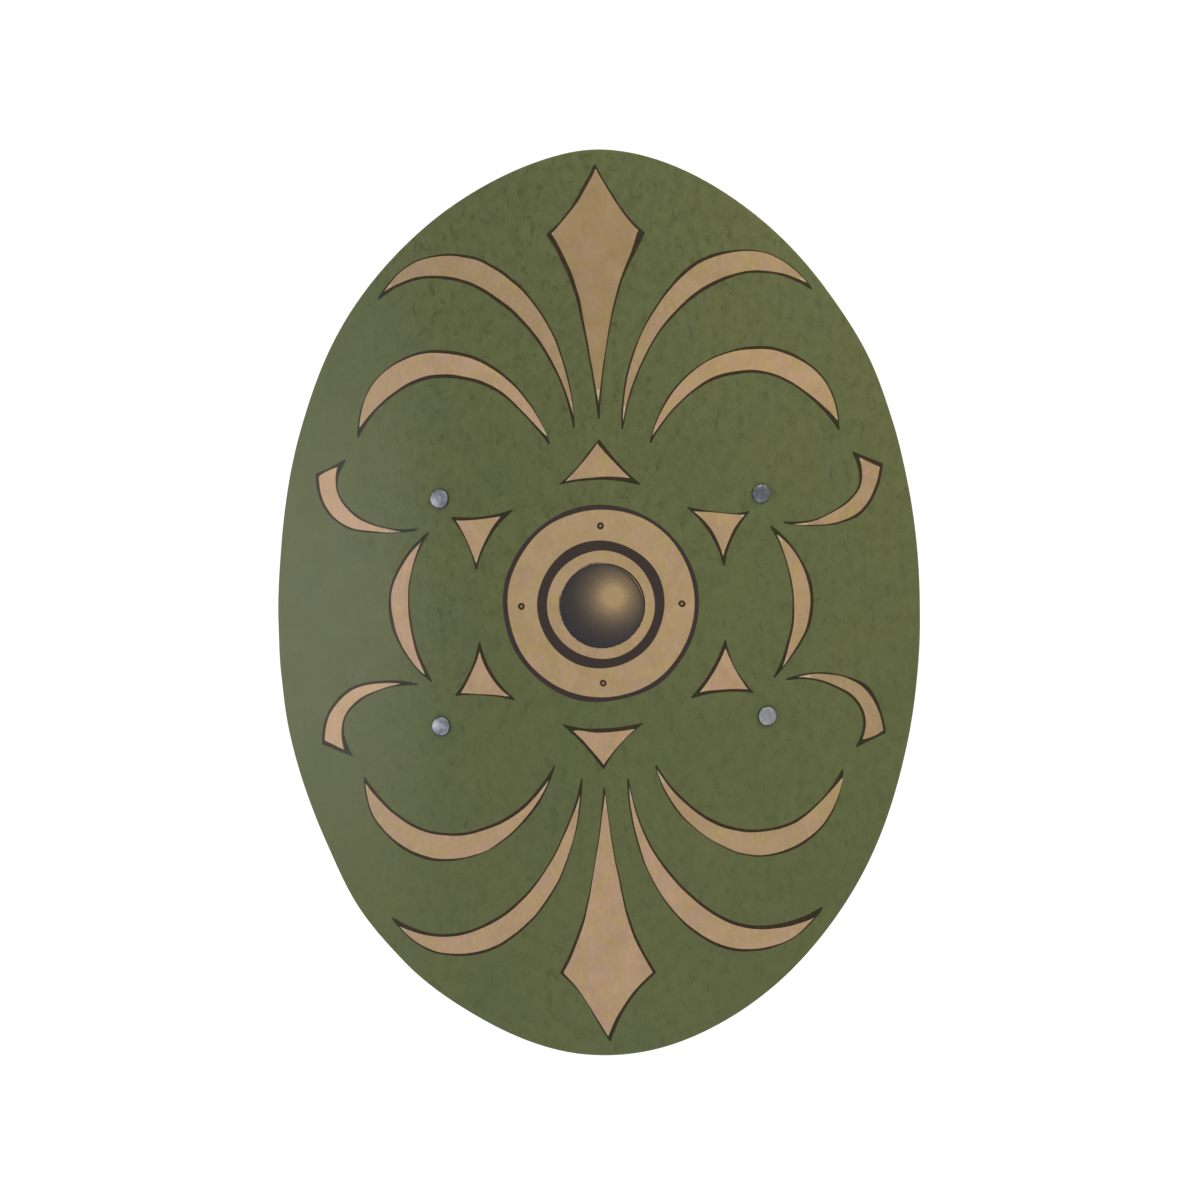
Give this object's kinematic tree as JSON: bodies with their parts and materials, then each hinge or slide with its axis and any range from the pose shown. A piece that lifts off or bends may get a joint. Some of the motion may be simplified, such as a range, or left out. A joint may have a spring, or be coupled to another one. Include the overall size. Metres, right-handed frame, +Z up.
{
  "type": "roman shield",
  "caption": "Oval toy shield: a thin curved plywood board with a flat printed front, and an arm strap and a hand strap riveted to its hollow back.",
  "frame": {"origin": "middle of the floor area under the shield as it lies front up, at floor height", "axes": "+Y along the board towards the shield's top, +X to the right of someone who looks at its front, +Z up, out of its front"},
  "size_m": [0.3264, 0.45, 0.0426],
  "materials": {
    "board": "plywood, printed in satin green with gold ornaments and dark outlines in front, bare behind",
    "strap": "brown saddle leather",
    "rivet": "nickel-plated steel, slightly worn"
  },
  "bodies": {
    "root": {"board": "board", "hand_strap": "strap", "arm_strap": "strap", "rivet_upper_left": "rivet", "rivet_lower_left": "rivet", "rivet_upper_right": "rivet", "rivet_lower_right": "rivet"}
  },
  "joints": []
}
